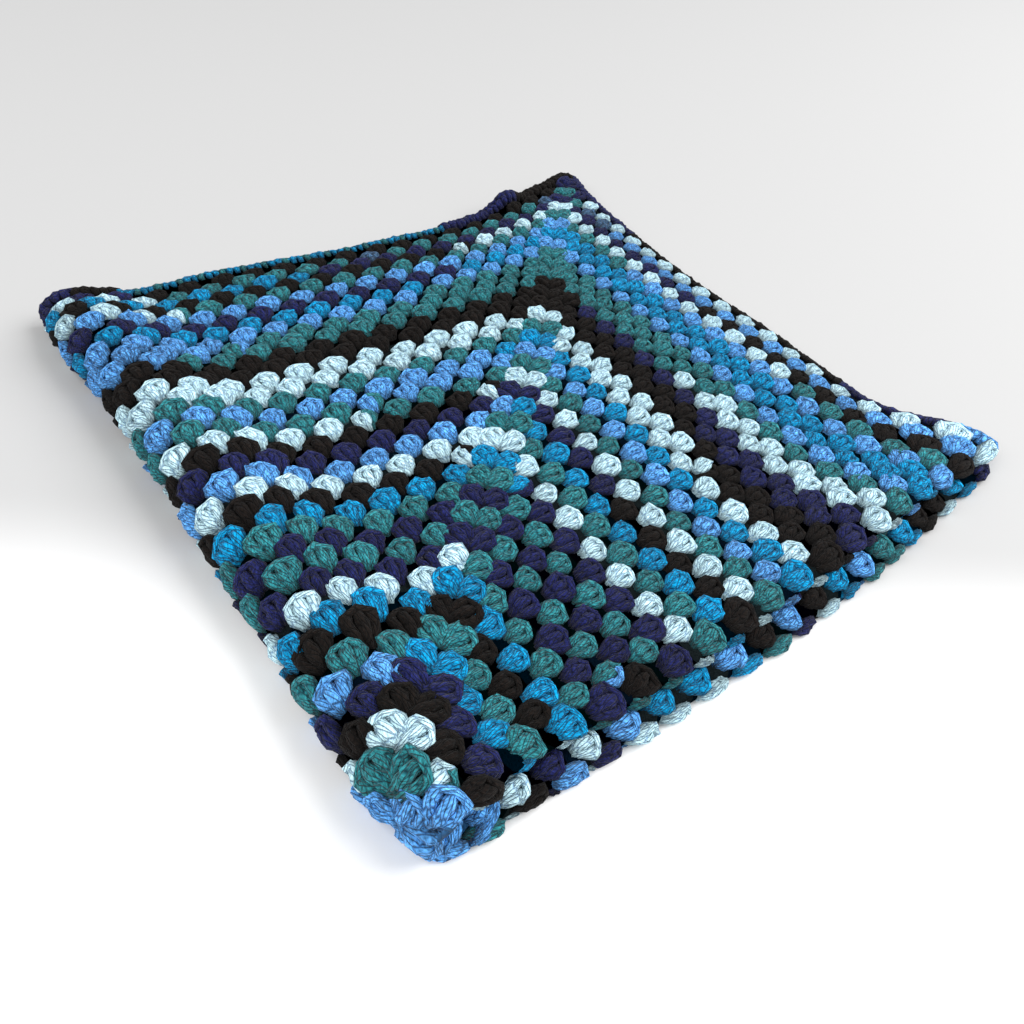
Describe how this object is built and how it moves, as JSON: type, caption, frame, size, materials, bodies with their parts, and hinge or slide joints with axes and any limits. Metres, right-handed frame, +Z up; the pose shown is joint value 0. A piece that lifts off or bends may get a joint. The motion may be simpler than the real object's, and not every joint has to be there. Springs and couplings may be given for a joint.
{
  "type": "granny square blanket",
  "caption": "Crocheted granny square blanket in blues, greens, white and black, folded in quarters.",
  "frame": {"origin": "centre of the folded blanket's box, on the surface that it lies on", "axes": "+Z up, +X along the first fold away from the thick rolled fold, +Y along the rolled fold towards the free back edges"},
  "size_m": [0.587, 0.5284, 0.0484],
  "materials": {
    "yarn": "fuzzy plied acrylic yarn, matt, in blues, teal, navy, white and black"
  },
  "bodies": {
    "root": {"blanket": "yarn"}
  },
  "joints": []
}
